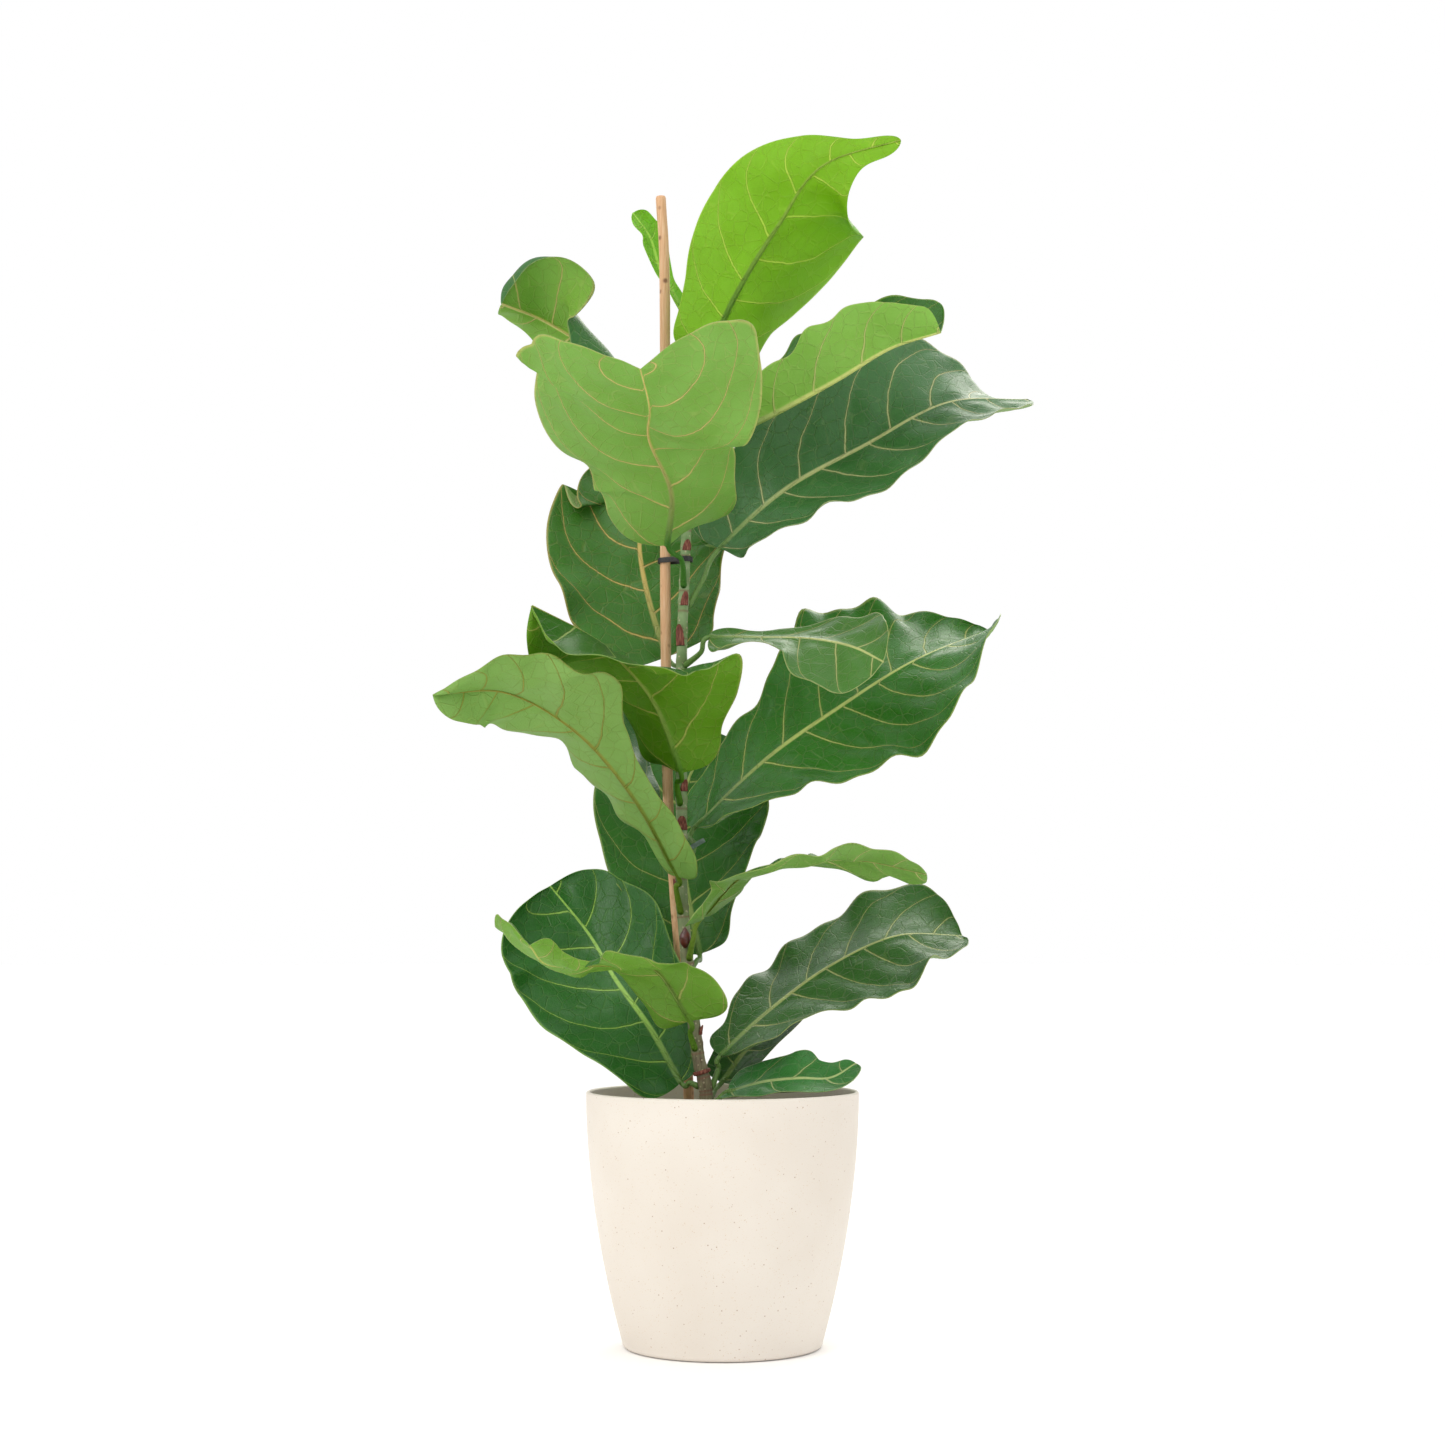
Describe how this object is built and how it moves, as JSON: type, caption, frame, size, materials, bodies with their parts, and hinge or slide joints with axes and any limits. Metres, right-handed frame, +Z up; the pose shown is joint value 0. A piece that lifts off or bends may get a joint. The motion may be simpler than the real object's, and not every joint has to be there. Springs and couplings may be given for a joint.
{
  "type": "potted fiddle leaf fig",
  "caption": "Young fiddle leaf fig on a wooden cane in a cream, finely speckled tapered pot, with large wavy leaves and dark soil.",
  "frame": {"origin": "centre of the pot's underside, on the surface it stands on", "axes": "+Z up from the underside to the top leaf; -Y towards the viewer, +X to the viewer's right"},
  "size_m": [0.5426, 0.4341, 1.1113],
  "materials": {
    "pot_plastic": "matte cream with fine tan specks",
    "stem_bark": "green-grey young bark with pale pores",
    "cane_wood": "pale debarked wood, dry",
    "soil_mix": "loose bark and peat potting mix, matte",
    "leaf_bright": "thin waxy leaf, light green, satin",
    "leaf_dark": "thick waxy leaf, dark green, satin",
    "dry_scale": "dry papery sheath, matte",
    "bud_skin": "smooth glossy bud",
    "black_plastic": "semi-matte",
    "tie_plastic": "flat satin band"
  },
  "bodies": {
    "root": {"pot": "pot_plastic", "stem": "stem_bark", "cane": "cane_wood", "soil": "soil_mix", "leaf_crown": "leaf_bright", "leaf_young": "leaf_bright", "leaf_upper_left": "leaf_bright", "leaf_upper_front": "leaf_bright", "leaf_upper_right": "leaf_bright", "leaf_arched": "leaf_bright", "leaf_long_left": "leaf_bright", "leaf_thin_right": "leaf_bright", "leaf_low_front": "leaf_bright", "leaf_high_right": "leaf_dark", "leaf_high_back": "leaf_dark", "leaf_small_right": "leaf_dark", "leaf_narrow_left": "leaf_dark", "leaf_broad_right": "leaf_dark", "leaf_mid_back": "leaf_dark", "leaf_low_left": "leaf_dark", "leaf_low_right": "leaf_dark", "leaf_shaded": "leaf_dark", "leaf_rim": "leaf_dark", "scale_1": "dry_scale", "scale_2": "dry_scale", "scale_3": "dry_scale", "scale_4": "dry_scale", "scale_5": "dry_scale", "scale_6": "dry_scale", "scale_7": "dry_scale", "side_bud": "bud_skin", "tip_bud": "leaf_bright", "leaf_scar": "dry_scale", "clip": "black_plastic", "twist_tie": "tie_plastic"}
  },
  "joints": []
}
